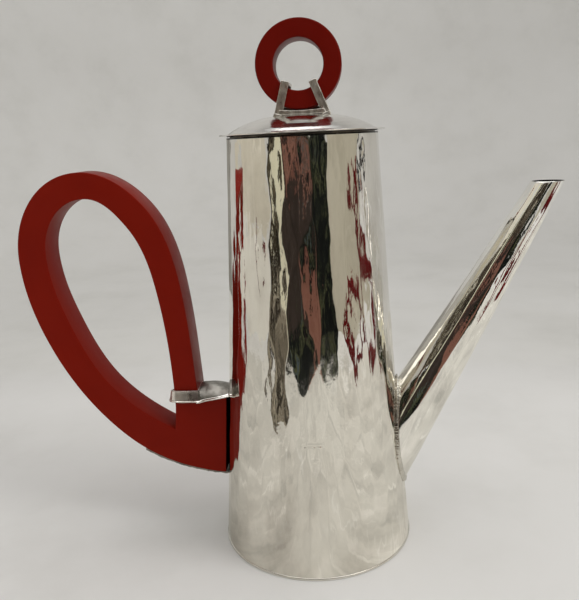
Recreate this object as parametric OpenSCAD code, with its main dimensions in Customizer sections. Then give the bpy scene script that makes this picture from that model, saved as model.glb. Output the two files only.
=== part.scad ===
// Coffee pot of hammered silver, with a lacquered loop handle, a straight tapered spout
// and a lift-off lid that carries a lacquered ring held by two silver claws.
// Millimetres. The origin is the centre of the base, on the table. +Z is up, the spout
// points to +X, the handle to -X, and the flat faces of handle and ring look along Y.

/* [Body] */
// Height of the body's rim above the table
body_h = 189.5; // [180:0.5:198]
// Outer radius of the wall at the base
base_r = 44.9; // [43:0.1:47]
// Outer radius of the wall at the rim
rim_r = 32.8; // [32:0.1:34]
// How far the wall pulls in from a straight cone at half height
waist = 0.9; // [0:0.1:1.5]
// Thickness of the hammered sheet
sheet = 1.0; // [0.8:0.1:1.4]
// Thickness of the flat base plate
base_t = 1.3; // [1:0.1:2]

/* [Spout] */
// Distance of the mouth's centre from the body's axis
tip_x = 105; // [98:0.5:110]
// Height of the mouth, which is cut level
tip_z = 165.4; // [158:0.2:172]
// Slope of the spout above the horizontal, in degrees
tilt = 60.4; // [58:0.2:62]
// Radius of the tube at the mouth, square to its axis
tip_r = 6; // [5:0.1:6.6]
// Half angle of the tube's taper, in degrees
taper = 3.35; // [3:0.05:3.8]
// Thickness of the tube's sheet
tube_t = 0.9; // [0.7:0.1:1.1]
// Size of the solder fillet round the foot of the spout
bead = 1.1; // [0.8:0.1:1.4]
// Radius of each strainer hole pierced through the wall behind the spout
strainer_r = 1.5; // [1.2:0.1:1.8]

/* [Handle] */
// Thickness of the loop from flat face to flat face
handle_t = 15; // [13:0.5:16]
// Gap between the loop's block and the wall
block_gap = 0.9; // [0.6:0.1:1.4]
// Thickness of the bracket's sheet
bracket_t = 1.4; // [1:0.1:1.8]
// Height of the bracket's band round the handle's arm
band_h = 6; // [5:0.5:7]
// Thickness of the strip under the handle
strip_t = 0.9; // [0.7:0.1:1.2]
// Width of the strip under the handle
strip_w = 14.4; // [11:0.2:15]
// Radius of the fixing pins
pin_r = 1.3; // [1:0.1:1.6]

/* [Lid] */
// Gap between the lid's flange and the rim
lid_gap = 0.4; // [0.3:0.1:0.6]
// Radius of the lid's flange
flange_r = 35.9; // [35:0.1:37]
// Radius where the dome meets the flange
dome_r = 32.5; // [32:0.1:33]
// Rise of the dome above the flange
dome_rise = 7.2; // [6:0.1:8]
// Thickness of the lid's sheet
lid_t = 0.9; // [0.7:0.1:1]
// Depth of the bezel that drops inside the rim
bezel_h = 9; // [7:0.5:11]
// Thickness of the bezel
bezel_t = 0.9; // [0.7:0.1:1.2]

/* [Ring knob] */
// Outer radius of the ring
ring_r = 18.1; // [17.5:0.1:18.5]
// Radius of the hole in the ring
hole_r = 10.5; // [10:0.1:11]
// Thickness of the ring from flat face to flat face
ring_t = 14; // [13:0.2:14.6]
// Height of the ring's centre
ring_z = 218.1; // [218:0.1:218.4]
// Width of each claw
claw_w = 3.1; // [2.6:0.1:3.4]
// Thickness of the claws' strip
claw_t = 1.0; // [0.8:0.1:1.2]

/* [Hidden] */

$fn = 96;
silver = [0.80, 0.79, 0.76];
silver_dull = [0.66, 0.65, 0.62];
lacquer = [0.50, 0.09, 0.06];

over = 1;               // how far a cutting shape runs past what it cuts
wall_bands = 10;        // straight stretches in the wall's curved outline
dome_bands = 12;        // straight stretches in the dome's outline
curve_steps = 10;       // straight stretches between two knots of the handle's outline

strainer_pitch = 6;     // distance between strainer holes
strainer_z = 54;        // height of the middle of the strainer
strainer_half_y = 9.5;  // half width of the pierced patch
strainer_half_z = 16;   // half height of the pierced patch

arm_x = -54;            // the arm's outer face, where it meets the shoulder
arm_in_x = -65.2;       // the arm's inner face, at the bracket
shoulder_z = 73;        // height of the shoulder beside the arm
shoulder_wall_z = 71.6; // height of the shoulder beside the wall
block_z = 32.5;         // height of the block's lowest corner
band_z = 69;            // lower edge of the bracket's band
band_play = 0.1;        // clearance between the band and the arm
band_round = 2.6;       // outer corner radius of the band
tongue_x = -39;         // the tongue's end, inside the wall's outline before it is cut
tongue_half_wide = 9.3; // half width of the tongue beside the arm
tongue_half_slim = 6;   // half width of the tongue at the wall
skirt_drop = 0.6;       // depth of the tongue's turned-down edge at the wall

pin_head_r = 2.2;       // radius of the heads of the pins in the strip
pin_head_h = 0.5;       // thickness of those heads
pin_depth = 14;         // how deep a pin goes into the block
shoulder_pin_x = -47.5;
strip_pin_x = [-52, -64];

// Outline of the handle: knots of [x, z, heading], joined by arc-like curves. The outer
// line runs from the block's corner under the loop, over its top and down the arm.
loop_outside = [
    [-44, block_z, 174], [-89.5, 51, 139], [-121, 93.5, 115], [-132.5, 140, 90],
    [-100, 178, 0], [-71, 161.5, -52], [-57.3, 120, -83], [arm_x, shoulder_z, -87]
];
loop_inside = [
    [-66.4, 55, 152], [-95.5, 77.5, 130], [-113.5, 112.5, 110], [-119.3, 141.5, 90],
    [-98.5, 166.2, 0], [-80.2, 153, -53], [-68.8, 119.5, -81], [arm_in_x, band_z, -90],
    [-66.4, 55, -95]
];
strip_length = 0.84;    // share of the loop's first stretch that the strip covers

lid_z = body_h + lid_gap;
flange_top = lid_z + lid_t;
bezel_r = rim_r - sheet - 0.4;

claw_z = 197.2;         // foot of each claw, inside the dome's outline before it is cut
claw_play = 0.15;       // clearance between claw and ring
claw_foot = 2.3;        // length of each turned-out foot
left_claw = [-9.4, 15]; // [x of the foot, lean towards the ring's centre]
right_claw = [11.4, -22];
bar_low = 197.9;        // the crossbars' lower and upper edges
bar_top = 199.9;
bar_y = 6.3;            // the crossbars' inner face
bar_t = 2.0;            // thickness of the crossbars

// The wall's outer radius at height z: a cone, pulled in a little at half height.
function wall_r(z) = base_r + (rim_r - base_r) * z / body_h - waist * sin(180 * z / body_h);

// The lid's top surface at radius r.
function dome_z(r) = flange_top + dome_rise * (1 - pow(min(r, dome_r) / dome_r, 3));

// The spout's outer radius at a distance down its axis from the mouth.
function tube_r(s) = tip_r + s * tan(taper);

// Points on the arc-like curve from knot a to knot b, without b itself.
function curve(a, b) = let(
    chord = norm([b[0] - a[0], b[1] - a[1]]),
    turn = (b[2] - a[2] + 540) % 360 - 180,
    reach = chord / 3 / pow(cos(turn / 4), 2),
    p = [a[0], a[1]],
    q = p + reach * [cos(a[2]), sin(a[2])],
    s = [b[0], b[1]],
    r = s - reach * [cos(b[2]), sin(b[2])]
) [
    for (i = [0 : curve_steps - 1]) let(t = i / curve_steps, u = 1 - t)
        u * u * u * p + 3 * u * u * t * q + 3 * u * t * t * r + t * t * t * s
];

// The whole curve through a list of knots.
function outline(knots) = concat(
    [for (i = [0 : len(knots) - 2]) each curve(knots[i], knots[i + 1])],
    [[knots[len(knots) - 1][0], knots[len(knots) - 1][1]]]
);

// A line of points shifted sideways by d, to the left of its direction.
function shifted(points, d) = [
    for (i = [0 : len(points) - 1]) let(
        a = points[max(i - 1, 0)],
        b = points[min(i + 1, len(points) - 1)],
        along = (b - a) / norm(b - a)
    ) points[i] + d * [-along[1], along[0]]
];

// A list in the opposite order.
function backwards(list) = [for (i = [len(list) - 1 : -1 : 0]) list[i]];

// The wall's outline between two heights, moved outwards by grow.
function wall_line(low, high, grow) = [
    for (i = [0 : wall_bands]) let(z = low + (high - low) * i / wall_bands)
        [wall_r(z) + grow, z]
];

// Stands a drawing of x and z upright, with its thickness centred on y = 0.
module upright(thickness) {
    rotate([90, 0, 0]) linear_extrude(thickness, center = true) children();
}

// The space that the body fills, with its wall moved outwards by grow.
module body_space(grow = 0) {
    rotate_extrude() polygon(concat([[0, 0]], wall_line(0, body_h, grow), [[0, body_h]]));
}

// A cone along the spout's axis, grown sideways and cut level at the mouth.
module spout_cone(grow, top) {
    start = -3 * tip_r;
    end = 150;
    difference() {
        translate([tip_x, 0, tip_z]) rotate([0, 270 - tilt, 0]) translate([0, 0, start])
            cylinder(h = end - start, r1 = tube_r(start) + grow, r2 = tube_r(end) + grow);
        translate([0, -50, top]) cube([200, 100, 100]);
    }
}

module body_wall() {
    color(silver) difference() {
        rotate_extrude() polygon(concat(
            wall_line(base_t, body_h, 0), backwards(wall_line(base_t, body_h, -sheet))
        ));
        strainer_holes();
    }
}

// Staggered rows of holes inside an upright oval, pierced along X.
module strainer_holes() {
    row_pitch = strainer_pitch * sin(60);
    rows = floor(strainer_half_z / row_pitch);
    columns = ceil(strainer_half_y / strainer_pitch);
    for (i = [-rows : rows], j = [-columns : columns]) {
        y = (j + (i % 2 == 0 ? 0 : 0.5)) * strainer_pitch;
        z = i * row_pitch;
        if (pow(y / strainer_half_y, 2) + pow(z / strainer_half_z, 2) <= 1)
            translate([base_r / 2, y, strainer_z + z]) rotate([0, 90, 0])
                cylinder(h = base_r, r = strainer_r, $fn = 24);
    }
}

module base_disc() {
    color(silver_dull) cylinder(h = base_t, r = base_r + 0.2);
}

module spout_tube() {
    color(silver) difference() {
        spout_cone(0, tip_z);
        spout_cone(-tube_t, tip_z + over);
        body_space();
    }
}

// Solder that fills the corner between the spout and the wall.
module spout_seam() {
    color(silver_dull) difference() {
        intersection() {
            spout_cone(bead, tip_z - 40);
            body_space(bead);
        }
        spout_cone(0, tip_z);
        body_space();
    }
}

// The loop, with its block beside the wall. Its outline runs round the outside, along
// the shoulder and down the face beside the wall.
module handle_loop() {
    block_face = [
        for (i = [0 : 4]) let(z = shoulder_wall_z + (block_z - shoulder_wall_z) * i / 4)
            [-wall_r(z) - block_gap, z]
    ];
    color(lacquer) difference() {
        upright(handle_t) difference() {
            polygon(concat(outline(loop_outside), block_face));
            polygon(outline(loop_inside));
        }
        shoulder_bore();
        strip_bores();
    }
}

// The sheet bracket: a tongue soldered to the wall that lies on the shoulder, and a band
// that goes round the arm, with a turned-down edge between the two.
module handle_bracket() {
    color(silver_dull) difference() {
        union() {
            tongue();
            skirt(1);
            skirt(-1);
            band();
        }
        arm_space();
        block_space();
        body_space();
        shoulder_bore();
    }
}

module tongue() {
    slope = (shoulder_z - shoulder_wall_z) / (tongue_x - arm_x);
    intersection() {
        upright(4 * tongue_half_wide) polygon([
            [arm_x - over, shoulder_z + slope * over],
            [tongue_x, shoulder_z - slope * (tongue_x - arm_x)],
            [tongue_x, shoulder_z - slope * (tongue_x - arm_x) + bracket_t],
            [arm_x - over, shoulder_z + slope * over + bracket_t]
        ]);
        translate([0, 0, band_z]) linear_extrude(2 * band_h) polygon([
            [arm_x - over, -tongue_half_wide], [arm_x + 4, -tongue_half_wide + 0.4],
            [tongue_x, -tongue_half_slim], [tongue_x, tongue_half_slim],
            [arm_x + 4, tongue_half_wide - 0.4], [arm_x - over, tongue_half_wide]
        ]);
    }
}

// The tongue's edge on one side, deep beside the arm and running out at the wall.
module skirt(side) {
    run = tongue_x - arm_x;
    narrowing = atan((tongue_half_wide - tongue_half_slim) / run);
    translate([arm_x, side * (tongue_half_wide - bracket_t / 2), 0])
        rotate([0, 0, -side * narrowing]) upright(bracket_t) polygon([
            [-over, band_z], [over, band_z], [run, shoulder_wall_z - skirt_drop],
            [run, shoulder_wall_z + bracket_t / 2], [-over, shoulder_z + bracket_t / 2]
        ]);
}

module band() {
    length = arm_x - arm_in_x + 2 * bracket_t;
    width = handle_t + 2 * (band_play + bracket_t);
    translate([arm_in_x - band_play - bracket_t, -width / 2, band_z]) {
        difference() {
            linear_extrude(band_h) rounded_end(length, width);
            translate([bracket_t, bracket_t, -over])
                cube([length, width - 2 * bracket_t, band_h + 2 * over]);
        }
    }
}

// A rectangle from the origin, with its two corners on the low x side rounded.
module rounded_end(length, width) {
    translate([band_round, 0]) square([length - band_round, width]);
    translate([0, band_round]) square([length, width - 2 * band_round]);
    for (y = [band_round, width - band_round]) translate([band_round, y])
        circle(band_round, $fn = 48);
}

// The room that the arm takes between the tongue and the band.
module arm_space() {
    translate([arm_in_x - band_play, -handle_t / 2 - band_play, band_z - over])
        cube([arm_x - arm_in_x + band_play, handle_t + 2 * band_play, 3 * band_h]);
}

// The room that the block takes under the tongue.
module block_space() {
    upright(handle_t + 2 * band_play) polygon([
        [arm_in_x, shoulder_z - band_h], [tongue_x, shoulder_z - band_h],
        [tongue_x, shoulder_wall_z], [arm_x, shoulder_z], [arm_in_x, shoulder_z]
    ]);
}

module shoulder_bore() {
    translate([shoulder_pin_x, 0, shoulder_z + bracket_t - pin_depth])
        cylinder(h = 2 * pin_depth, r = pin_r);
}

// A pin through the tongue into the block, filed flush with the tongue.
module shoulder_pin() {
    slope = (shoulder_z - shoulder_wall_z) / (tongue_x - arm_x);
    color(silver) difference() {
        translate([shoulder_pin_x, 0, shoulder_z + bracket_t - pin_depth])
            cylinder(h = pin_depth, r = pin_r);
        upright(4 * pin_r) polygon([
            [arm_x, shoulder_z + bracket_t],
            [tongue_x, shoulder_z + bracket_t - slope * (tongue_x - arm_x)],
            [tongue_x, shoulder_z + band_h], [arm_x, shoulder_z + band_h]
        ]);
    }
}

// The underside of the loop, from the block's corner outwards.
function underside() = let(
    all = outline([loop_outside[0], loop_outside[1]]),
    last = round(strip_length * (len(all) - 1))
) [for (i = [0 : last]) all[i]];

// The thin strip that follows the underside and is soldered to the wall.
module handle_strip() {
    line = concat([[-wall_r(block_z) + over, block_z - 0.15]], underside());
    color(silver_dull) difference() {
        upright(strip_w) polygon(concat(line, backwards(shifted(line, strip_t))));
        body_space();
        strip_bores();
    }
}

// The height of the underside at x, on the strip's outline.
function under_z(x) = lookup(-x, [for (p = underside()) [-p[0], p[1]]]);

module strip_bores() {
    for (x = strip_pin_x) translate([x, 0, under_z(x) - 2 * strip_t])
        cylinder(h = pin_depth, r = pin_r);
}

// Two pins from below through the strip into the block, each with a thin head.
module strip_pins() {
    head_z = [for (x = strip_pin_x) under_z(x) - 2 * strip_t];
    for (i = [0 : len(strip_pin_x) - 1]) translate([strip_pin_x[i], 0, head_z[i]])
        color(silver) {
            cylinder(h = pin_depth, r = pin_r);
            translate([0, 0, -pin_head_h]) cylinder(h = pin_head_h, r = pin_head_r);
        }
}

// The dome's outline from the axis to its edge, lowered by drop.
function dome_line(drop) = [
    for (i = [0 : dome_bands]) let(r = dome_r * i / dome_bands) [r, dome_z(r) - drop]
];

module lid_dome() {
    color(silver) rotate_extrude() polygon(concat(
        dome_line(0), [[flange_r, flange_top], [flange_r, lid_z]],
        backwards(dome_line(lid_t))
    ));
}

// Everything under the lid's top surface, or under its lower surface when drop is lid_t.
module under_dome(drop) {
    rotate_extrude() polygon(concat(
        dome_line(drop), [[dome_r, body_h - bezel_h - over], [0, body_h - bezel_h - over]]
    ));
}

module lid_bezel() {
    color(silver_dull) intersection() {
        translate([0, 0, body_h - bezel_h]) difference() {
            cylinder(h = 2 * bezel_h, r = bezel_r);
            translate([0, 0, -over]) cylinder(h = 3 * bezel_h, r = bezel_r - bezel_t);
        }
        under_dome(lid_t);
    }
}

module knob_ring() {
    color(lacquer) difference() {
        ring_disc(ring_r, ring_t);
        ring_disc(hole_r, ring_t + 2 * over);
    }
}

module ring_disc(r, thickness) {
    translate([0, 0, ring_z]) rotate([90, 0, 0])
        cylinder(h = thickness, r = r, center = true);
}

// How far along its own lean a claw clears the ring's hole on the claw's outer edge.
function claw_reach(claw) = let(
    lean = claw[1],
    side = claw[0] < 0 ? -1 : 1,
    up = [sin(lean), cos(lean)],
    corner = [claw[0], claw_z - ring_z] + side * claw_w / 2 * [cos(lean), -sin(lean)],
    along = corner * up
) -along - sqrt(along * along - corner * corner + hole_r * hole_r);

// One claw: a strip that stands on the lid, goes up one face of the ring, through its
// hole and down the other face, with both ends turned out as feet.
module claw(place) {
    inner = ring_t / 2 + claw_play;
    outer = inner + claw_t;
    reach = claw_reach(place) + claw_play;
    toe = outer + claw_foot;
    color(silver) difference() {
        translate([place[0], 0, claw_z]) rotate([0, place[1], 0]) rotate([90, 0, 90])
            linear_extrude(claw_w, center = true) polygon([
                [-toe, -over], [-inner, -over], [-inner, reach], [inner, reach],
                [inner, -over], [toe, -over], [toe, claw_t], [outer, claw_t],
                [outer, reach + claw_t], [-outer, reach + claw_t], [-outer, claw_t],
                [-toe, claw_t]
            ]);
        under_dome(0);
    }
}

module knob_claw_left() {
    claw(left_claw);
}

module knob_claw_right() {
    claw(right_claw);
}

// A crossbar between the claws, under one edge of the ring: side is -1 or 1 along Y.
module crossbar(side) {
    color(silver) difference() {
        translate([left_claw[0], side < 0 ? -bar_y - bar_t : bar_y, bar_low])
            cube([right_claw[0] - left_claw[0], bar_t, bar_top - bar_low]);
        ring_disc(ring_r, ring_t + 4 * bar_t);
        claw(left_claw);
        claw(right_claw);
        under_dome(0);
        bar_end(left_claw, -1);
        bar_end(right_claw, 1);
    }
}

// Cuts a crossbar off flush with a claw's outer half: side is -1 or 1 along X.
module bar_end(place, side) {
    wide = 10;
    translate([place[0], 0, claw_z]) rotate([0, place[1], 0])
        translate([side * wide / 2, 0, 0]) cube([wide, 4 * ring_t, 2 * wide], center = true);
}

module knob_bar_front() {
    crossbar(-1);
}

module knob_bar_back() {
    crossbar(1);
}

body_wall();
base_disc();
spout_tube();
spout_seam();
handle_loop();
handle_bracket();
shoulder_pin();
handle_strip();
strip_pins();
lid_dome();
lid_bezel();
knob_ring();
knob_claw_left();
knob_claw_right();
knob_bar_front();
knob_bar_back();
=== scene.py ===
"""Looks of the silver coffee pot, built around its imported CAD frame.

The shapes here are worked out in millimetres in the row frame: the origin is the centre of
the base, +Z is up, the spout points to +X and the handle to -X. They become metres when a
piece is made. Outlines, radii and heights are read from the CAD nodes.
"""

from math import cos, pi, radians, sin, tan

import bmesh
import bpy
import numpy as np
from mathutils import Matrix, Vector
from mathutils.geometry import tessellate_polygon
from mathutils.noise import fractal


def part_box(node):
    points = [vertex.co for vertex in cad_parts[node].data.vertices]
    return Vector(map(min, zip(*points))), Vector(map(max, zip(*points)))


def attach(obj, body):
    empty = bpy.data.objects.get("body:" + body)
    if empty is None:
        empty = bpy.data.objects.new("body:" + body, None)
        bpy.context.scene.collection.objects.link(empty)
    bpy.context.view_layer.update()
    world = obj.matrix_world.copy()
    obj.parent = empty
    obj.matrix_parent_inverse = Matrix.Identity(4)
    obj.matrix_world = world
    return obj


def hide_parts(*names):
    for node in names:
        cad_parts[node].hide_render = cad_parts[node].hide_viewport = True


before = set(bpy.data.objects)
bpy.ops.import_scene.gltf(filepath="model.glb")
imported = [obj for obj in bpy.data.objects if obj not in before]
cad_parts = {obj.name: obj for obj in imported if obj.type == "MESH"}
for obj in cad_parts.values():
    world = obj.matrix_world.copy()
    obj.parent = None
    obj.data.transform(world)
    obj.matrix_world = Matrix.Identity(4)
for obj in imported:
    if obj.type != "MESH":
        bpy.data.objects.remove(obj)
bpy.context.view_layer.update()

MM = 0.001


def add_object(name, data):
    """A new object in the scene."""
    obj = bpy.data.objects.new(name, data)
    bpy.context.scene.collection.objects.link(obj)
    return obj


def read_each(items, what):
    """Three numbers for each of a mesh's vertices, faces or normals."""
    flat = np.empty(len(items) * 3, np.float32)
    items.foreach_get(what, flat)
    return flat.reshape(-1, 3)


# -------- camera

CAMERA_DISTANCE = 0.2968    # from the pot's axis
CAMERA_HEIGHT = 0.1878
TURN = radians(3.8)         # the pot is turned a little towards the camera's left
YAW = radians(-1.722)       # heading of the view, from the line to the pot's axis
PITCH = radians(13.624)     # downwards
ROLL = radians(-2.797)
FOCAL = 39.72               # mm
SENSOR = 36                 # mm, along the picture's longer side


def make_camera():
    heading = YAW - TURN
    forward = Vector((sin(heading) * cos(PITCH), cos(heading) * cos(PITCH), -sin(PITCH)))
    level = Vector((cos(heading), -sin(heading), 0))
    above = level.cross(forward)
    right = level * cos(ROLL) + above * sin(ROLL)
    up = above * cos(ROLL) - level * sin(ROLL)
    data = bpy.data.cameras.new("camera")
    data.lens = FOCAL
    data.sensor_width = SENSOR
    data.clip_start = 0.01
    place = Matrix((right, up, -forward)).transposed().to_4x4()
    place.translation = (sin(TURN) * CAMERA_DISTANCE, -cos(TURN) * CAMERA_DISTANCE, CAMERA_HEIGHT)
    camera = add_object("camera", data)
    camera.matrix_world = place
    bpy.context.scene.camera = camera


# -------- reading the frame

def node_points(node):
    """A CAD node's vertices in millimetres."""
    return read_each(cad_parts[node].data.vertices, "co").astype(float) / MM


def box_mm(node):
    low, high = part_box(node)
    return np.array(low) / MM, np.array(high) / MM


FULL_LEVEL = 20             # a level of a round node has more points than this


def outer_radius(node):
    """Heights and the largest radius at each, on the -X half of a node that is round about Z."""
    points = node_points(node)
    points = points[points[:, 0] < 0]
    heights = np.round(points[:, 2], 2)
    levels, counts = np.unique(heights, return_counts=True)
    levels = levels[counts > FULL_LEVEL]
    around = np.hypot(points[:, 0], points[:, 1])
    return levels, np.array([around[heights == level].max() for level in levels])


def top_height(node):
    """Radii and the greatest height at each, on a node that is round about Z."""
    points = node_points(node)
    around = np.round(np.hypot(points[:, 0], points[:, 1]), 1)
    radii = np.unique(around)
    return radii, np.array([points[around == radius, 2].max() for radius in radii])


def flat_face_loops(node):
    """The outlines of a node's flat face on the -Y side, as closed lists of [x, z]."""
    mesh = bmesh.new()
    mesh.from_mesh(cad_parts[node].data)
    bmesh.ops.remove_doubles(mesh, verts=mesh.verts, dist=1e-6)
    front = min(v.co.y for v in mesh.verts)
    faces = {f for f in mesh.faces if all(abs(v.co.y - front) < 1e-6 for v in f.verts)}
    after = {}
    for face in faces:
        for loop in face.loops:
            if sum(f in faces for f in loop.edge.link_faces) == 1:
                after[loop.vert] = loop.link_loop_next.vert
    loops = []
    while after:
        vert = next(iter(after))
        line = []
        while vert in after:
            line.append([vert.co.x / MM, vert.co.z / MM])
            vert = after.pop(vert)
        loops.append(np.array(line))
    mesh.free()
    return sorted(loops, key=lambda line: -np.ptp(line[:, 0]))


# -------- lines and meshes

CORNER = radians(20)        # a line that turns more than this at a point has a corner there


def smooth_closed(line, step):
    """A closed line through the same points, curved between its corners and cut to even steps."""
    line = np.asarray(line, float)
    ahead = np.roll(line, -1, 0) - line
    behind = line - np.roll(line, 1, 0)
    turn = np.abs(np.arctan2(
        behind[:, 0] * ahead[:, 1] - behind[:, 1] * ahead[:, 0], (behind * ahead).sum(1)))
    sharp = np.flatnonzero(turn > CORNER)
    if len(sharp) == 0:
        sharp = np.array([0])
    result = []
    for start, end in zip(sharp, np.append(sharp[1:], sharp[0] + len(line))):
        stretch = line[np.arange(start, end + 1) % len(line)]
        result.append(smooth_open(stretch, step)[:-1])
    return np.concatenate(result)


def smooth_open(line, step=1.0, count=None):
    """Points on the curve through a line of points: count of them, or about a step apart."""
    line = np.asarray(line, float)
    along = np.append(0, np.cumsum(np.linalg.norm(np.diff(line, axis=0), axis=1)))
    if count is None:
        count = max(1, round(along[-1] / step)) + 1
    if len(line) < 3:
        return line[0] + np.linspace(0, 1, count)[:, None] * (line[-1] - line[0])
    slope = np.gradient(line, along, axis=0, edge_order=2)
    at = np.linspace(0, along[-1], count)
    cell = np.clip(np.searchsorted(along, at, side="right") - 1, 0, len(along) - 2)
    width = (along[cell + 1] - along[cell])[:, None]
    t = (at - along[cell])[:, None] / width
    return (
        (2 * t**3 - 3 * t**2 + 1) * line[cell] + (t**3 - 2 * t**2 + t) * width * slope[cell]
        + (3 * t**2 - 2 * t**3) * line[cell + 1] + (t**3 - t**2) * width * slope[cell + 1])


def inset(line, distance):
    """A closed line moved sideways, to the right of its direction."""
    ahead = np.roll(line, -1, 0) - line
    behind = line - np.roll(line, 1, 0)
    ahead /= np.linalg.norm(ahead, axis=1)[:, None]
    behind /= np.linalg.norm(behind, axis=1)[:, None]
    bisector = ahead + behind
    bisector /= np.linalg.norm(bisector, axis=1)[:, None]
    stretch = np.maximum(0.5, (bisector * ahead).sum(1))[:, None]
    return line + distance / stretch * np.stack([bisector[:, 1], -bisector[:, 0]], 1)


def rounded(corners, radius, steps=5):
    """A closed outline with each corner rounded; radius is one number or one for each corner."""
    corners = np.asarray(corners, float)
    radii = np.broadcast_to(radius, len(corners))
    points = []
    for i, corner in enumerate(corners):
        back = corners[i - 1] - corner
        on = corners[(i + 1) % len(corners)] - corner
        reach = min(radii[i], 0.49 * np.linalg.norm(back), 0.49 * np.linalg.norm(on))
        if reach <= 0:
            points.append(corner)
            continue
        a = corner + back / np.linalg.norm(back) * reach
        b = corner + on / np.linalg.norm(on) * reach
        for t in np.linspace(0, 1, steps + 1):
            points.append((1 - t)**2 * a + 2 * t * (1 - t) * corner + t**2 * b)
    return np.array(points)


def quads(rows, columns, closed=True, start=0):
    """Faces over a grid of points, row after row; closed joins the last column to the first."""
    row, column = np.meshgrid(
        np.arange(rows - 1), np.arange(columns if closed else columns - 1), indexing="ij")
    beside = (column + 1) % columns
    corners = [row * columns + column, row * columns + beside,
               (row + 1) * columns + beside, (row + 1) * columns + column]
    return start + np.stack(corners, -1).reshape(-1, 4)


SHARP = radians(40)         # edges that turn more than this stay crisp


def make_piece(name, points, faces, body, slot, material, replaces):
    """A piece of the pot from points in millimetres, merged and turned to face outwards."""
    data = bpy.data.meshes.new(name)
    data.from_pydata((np.asarray(points, float).reshape(-1, 3) * MM).tolist(), [],
                     [list(map(int, face)) for face in faces])
    mesh = bmesh.new()
    mesh.from_mesh(data)
    bmesh.ops.remove_doubles(mesh, verts=mesh.verts, dist=1e-7)
    bmesh.ops.dissolve_degenerate(mesh, edges=mesh.edges, dist=1e-8)
    bmesh.ops.recalc_face_normals(mesh, faces=mesh.faces)
    for face in mesh.faces:
        face.smooth = True
    for edge in mesh.edges:
        edge.smooth = edge.calc_face_angle(0) < SHARP
    mesh.to_mesh(data)
    mesh.free()
    return dress(add_object(name, data), body, material, replaces)


def dress(piece, body, material, replaces):
    """Gives a piece its material and ties it to the frame."""
    piece.data.materials.clear()
    piece.data.materials.append(material)
    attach(piece, body)
    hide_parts(*replaces)
    return piece


def paint(piece, material, chosen):
    """Gives some faces another material; chosen picks them by their centres, in mm, and normals."""
    faces = piece.data.polygons
    index = np.empty(len(faces), np.int32)
    faces.foreach_get("material_index", index)
    picked = chosen(read_each(faces, "center").astype(float) / MM, read_each(faces, "normal"))
    index[picked] = len(piece.data.materials)
    piece.data.materials.append(material)
    faces.foreach_set("material_index", index)


def lathe(outline, segments):
    """Points and faces of a closed outline of [r, z] turned about Z."""
    outline = np.asarray(outline, float)
    angle = np.linspace(0, 2 * pi, segments, endpoint=False)
    rows = np.vstack([outline, outline[:1]])
    points = np.stack([rows[:, :1] * np.cos(angle), rows[:, :1] * np.sin(angle),
                       np.repeat(rows[:, 1:], segments, 1)], -1)
    return points.reshape(-1, 3), quads(len(rows), segments)


def thick_sheet(outside, thickness):
    """Points and faces of a sheet: a grid of points and its copy, moved back by thickness."""
    down, right = np.gradient(outside, axis=0), np.gradient(outside, axis=1)
    normal = np.cross(right, down)
    normal /= np.linalg.norm(normal, axis=-1)[..., None]
    inside = outside - thickness * normal
    rows, columns = outside.shape[:2]
    count = rows * columns
    index = np.arange(count).reshape(rows, columns)
    rim = np.concatenate([index[0], index[1:, -1], index[-1, -2::-1], index[-2:0:-1, 0]])
    beside = np.roll(rim, -1)
    faces = np.concatenate([
        quads(rows, columns, closed=False), quads(rows, columns, closed=False, start=count),
        np.stack([rim, beside, beside + count, rim + count], 1)])
    return np.concatenate([outside.reshape(-1, 3), inside.reshape(-1, 3)]), faces


# -------- hammer marks

CREASE = 9                  # higher numbers leave sharper creases between the dishes
DISH_TOP = 6                # a dish counts up to this many depths above its floor
SPARE_ROWS = 3              # rows of dishes beyond the ends of the sheet
MISS_ACROSS = 0.32          # how far a blow may miss its place, as a share of the dishes' spacing
MISS_ALONG = 0.3
LEVEL_SPREAD = 0.35         # how far a dish's level may be off, as a share of its depth


def hammer_marks(across, along, girth, length, wide, tall, depth, tilt, seed):
    """Height of hammered sheet, at most 0, where overlapping blows have left shallow dishes.

    across runs round the girth and closes on itself, along runs over the length, and each
    dish is about wide by tall. tilt is how far a dish's floor may lean, as a slope.
    """
    rng = np.random.default_rng(seed)
    columns = round(girth / wide)
    rows = round(length / tall) + SPARE_ROWS
    sharpness = CREASE / depth
    total = np.zeros_like(across)
    for i in range(columns):
        offset = rng.uniform(0, 1)
        for j in range(rows):
            middle_u = (i + rng.uniform(-MISS_ACROSS, MISS_ACROSS)) * girth / columns
            row = j - SPARE_ROWS / 2 + offset + rng.uniform(-MISS_ALONG, MISS_ALONG)
            middle_v = row * length / (rows - SPARE_ROWS)
            level = rng.uniform(-LEVEL_SPREAD, LEVEL_SPREAD) * depth
            lean = rng.uniform(-tilt, tilt)
            du = (across - middle_u + girth / 2) % girth - girth / 2
            dv = along - middle_v
            dish = level + lean * du + depth * ((2 * du / wide)**2 + 0.5 * (2 * dv / tall)**2)
            total += np.exp(-sharpness * np.minimum(dish, DISH_TOP * depth))
    height = -np.log(total) / sharpness
    return height - height.max()


WAVES = 6
WAVE_LENGTH = (35, 90)      # shortest and longest, along the sheet


def ripples(across, along, girth, seed):
    """Slow waves over a closed girth, between -1 and 1."""
    rng = np.random.default_rng(seed)
    total = np.zeros_like(across)
    for _ in range(WAVES):
        turns = rng.integers(1, 6)
        wave = rng.uniform(*WAVE_LENGTH)
        total += np.sin(2 * pi * (turns * across / girth + along / wave + rng.uniform()))
    return total / WAVES


# -------- materials

def new_material(name):
    """A material, its tree and its shader."""
    material = bpy.data.materials.new(name)
    material.use_nodes = True
    tree = material.node_tree
    return material, tree, tree.nodes["Principled BSDF"]


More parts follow.
